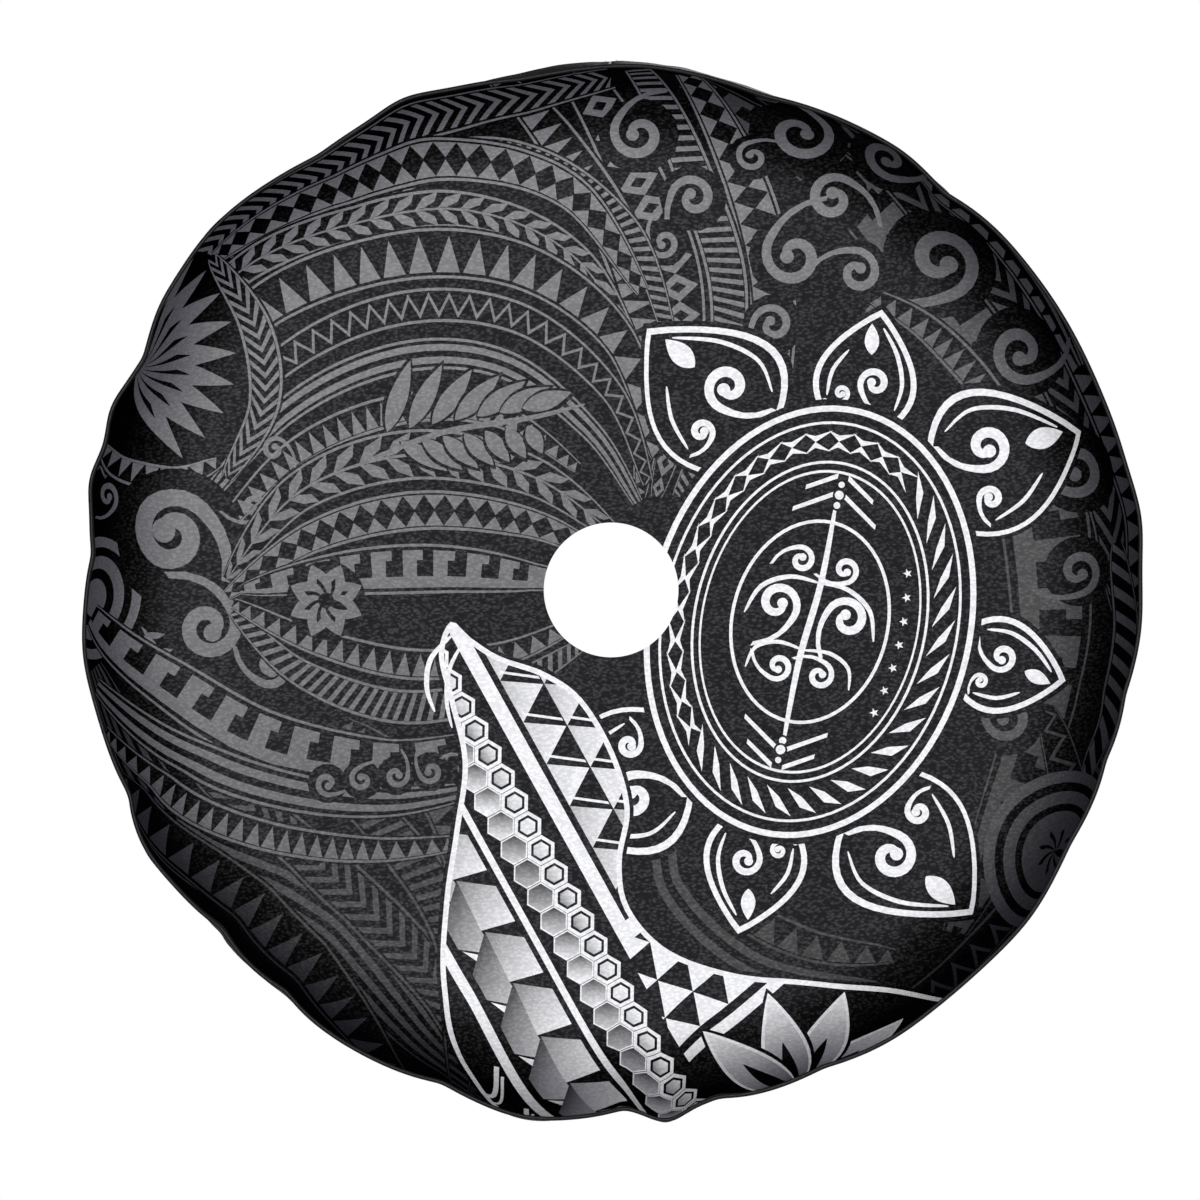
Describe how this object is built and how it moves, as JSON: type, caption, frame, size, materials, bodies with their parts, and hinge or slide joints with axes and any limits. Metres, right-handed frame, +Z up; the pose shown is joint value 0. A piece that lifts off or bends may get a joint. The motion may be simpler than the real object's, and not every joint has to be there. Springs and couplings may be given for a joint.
{
  "type": "spare tire cover",
  "caption": "Sewn faux-leather cover for an upright spare tyre: printed round face with a camera opening, piped edge, tread band and elastic rear hem.",
  "frame": {"origin": "on the wheel's axis, in the middle plane of the tyre the cover sits on", "axes": "+Z up as mounted, the printed face looks along -Y, the open rear mouth along +Y, +X to the viewer's right"},
  "size_m": [0.8046, 0.2563, 0.8046],
  "materials": {
    "printed_vinyl": "printed grained faux leather, grey and white ink on black",
    "plain_vinyl": "plain black grained faux leather",
    "soft_lining": "brushed charcoal lining",
    "facing": "bonded stiffening ring",
    "cord_filler": "twisted filler cord",
    "binding_tape": "woven black tape",
    "casing_tape": "woven black casing",
    "elastic": "white braided elastic",
    "black_thread": "black polyester thread",
    "white_thread": "white polyester thread",
    "label_satin": "blank white satin label"
  },
  "bodies": {
    "root": {"face_panel": "printed_vinyl", "face_lining": "soft_lining", "camera_hole_facing": "facing", "piping_cover": "plain_vinyl", "piping_cord": "cord_filler", "face_seam_thread": "black_thread", "face_seam_binding": "binding_tape", "binding_thread": "black_thread", "band_panel_left": "plain_vinyl", "band_panel_right": "plain_vinyl", "band_joint_tape_top": "binding_tape", "band_joint_tape_bottom": "binding_tape", "band_joint_thread_top": "black_thread", "band_joint_thread_bottom": "black_thread", "hem_casing": "casing_tape", "hem_thread_inner": "black_thread", "hem_thread_outer": "black_thread", "hem_elastic": "elastic", "elastic_splice_thread": "white_thread", "care_label": "label_satin"}
  },
  "joints": []
}
